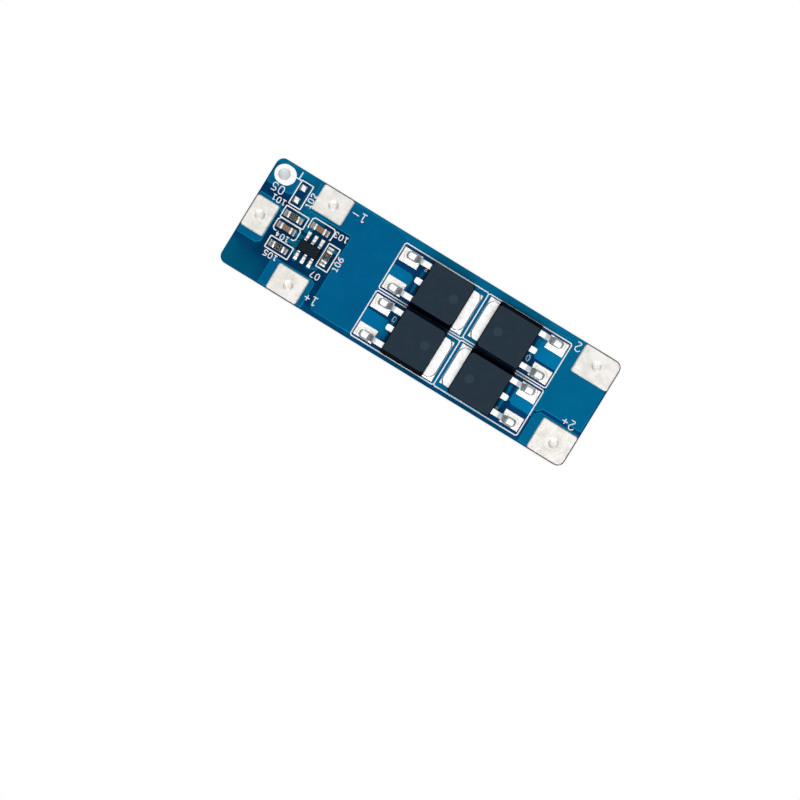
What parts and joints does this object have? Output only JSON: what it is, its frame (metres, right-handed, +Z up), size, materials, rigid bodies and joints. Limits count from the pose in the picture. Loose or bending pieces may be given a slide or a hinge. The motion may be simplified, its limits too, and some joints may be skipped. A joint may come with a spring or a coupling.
{
  "type": "battery management board",
  "caption": "Slim protection board for a rechargeable cell pack, with power transistors, a small controller, nickel tabs for weld strips and a plated hole for a sense wire.",
  "frame": {"origin": "middle of the board's outline at the bottom face", "axes": "+X along the board to the battery end, +Y across it to the edge with the minus tabs, +Z up out of the face that carries the parts"},
  "size_m": [0.05, 0.0152, 0.0035],
  "materials": {
    "mask_on_laminate": "glossy blue solder mask over bare glass-fibre laminate",
    "mask_on_copper": "glossy blue solder mask over copper",
    "mask_on_tracks": "glossy blue solder mask over narrow copper",
    "mask_under_board": "glossy blue solder mask over copper",
    "bright_tin": "bright tinned copper",
    "nickel": "matte pressed nickel with faint scuffs",
    "fluxed_edge": "tin and copper edge stained brown by flux",
    "transistor_moulding": "fine matte black moulding compound",
    "plated_lead": "bright tin-plated copper",
    "solder": "reflowed solder, bright with grey menisci",
    "chip_moulding": "matte black moulding compound",
    "alumina": "white alumina",
    "black_glaze": "black overglaze",
    "terminal_tin": "tinned terminal",
    "brown_ceramic": "tan brown sintered ceramic",
    "white_ink": "white printed ink"
  },
  "bodies": {
    "root": {"laminate": "mask_on_laminate", "top_pours": "mask_on_copper", "masked_tracks": "mask_on_tracks", "bottom_pours": "mask_under_board", "wire_hole_plating": "bright_tin", "end_tab": "nickel", "pack_minus_tab": "nickel", "pack_plus_tab": "nickel", "battery_minus_tab": "nickel", "battery_plus_tab": "nickel", "end_tab_pad": "fluxed_edge", "pack_minus_tab_pad": "fluxed_edge", "pack_plus_tab_pad": "fluxed_edge", "battery_minus_tab_pad": "fluxed_edge", "battery_plus_tab_pad": "fluxed_edge", "transistor_1_body": "transistor_moulding", "transistor_1_drain_plate": "plated_lead", "transistor_1_gate_lead": "plated_lead", "transistor_1_source_lead": "plated_lead", "transistor_1_pads": "bright_tin", "transistor_1_solder": "solder", "transistor_2_body": "transistor_moulding", "transistor_2_drain_plate": "plated_lead", "transistor_2_gate_lead": "plated_lead", "transistor_2_source_lead": "plated_lead", "transistor_2_pads": "bright_tin", "transistor_2_solder": "solder", "transistor_3_body": "transistor_moulding", "transistor_3_drain_plate": "plated_lead", "transistor_3_gate_lead": "plated_lead", "transistor_3_source_lead": "plated_lead", "transistor_3_pads": "bright_tin", "transistor_3_solder": "solder", "transistor_4_body": "transistor_moulding", "transistor_4_drain_plate": "plated_lead", "transistor_4_gate_lead": "plated_lead", "transistor_4_source_lead": "plated_lead", "transistor_4_pads": "bright_tin", "transistor_4_solder": "solder", "controller_body": "chip_moulding", "controller_leads": "plated_lead", "controller_solder": "solder", "resistor_1_body": "alumina", "resistor_1_glaze": "black_glaze", "resistor_1_terminals": "terminal_tin", "resistor_2_body": "alumina", "resistor_2_glaze": "black_glaze", "resistor_2_terminals": "terminal_tin", "resistor_3_body": "alumina", "resistor_3_glaze": "black_glaze", "resistor_3_terminals": "terminal_tin", "capacitor_1_body": "brown_ceramic", "capacitor_1_terminals": "terminal_tin", "capacitor_2_body": "brown_ceramic", "capacitor_2_terminals": "terminal_tin", "signal_pads": "bright_tin", "chip_solder": "solder", "legend_frames": "white_ink"}
  },
  "joints": []
}
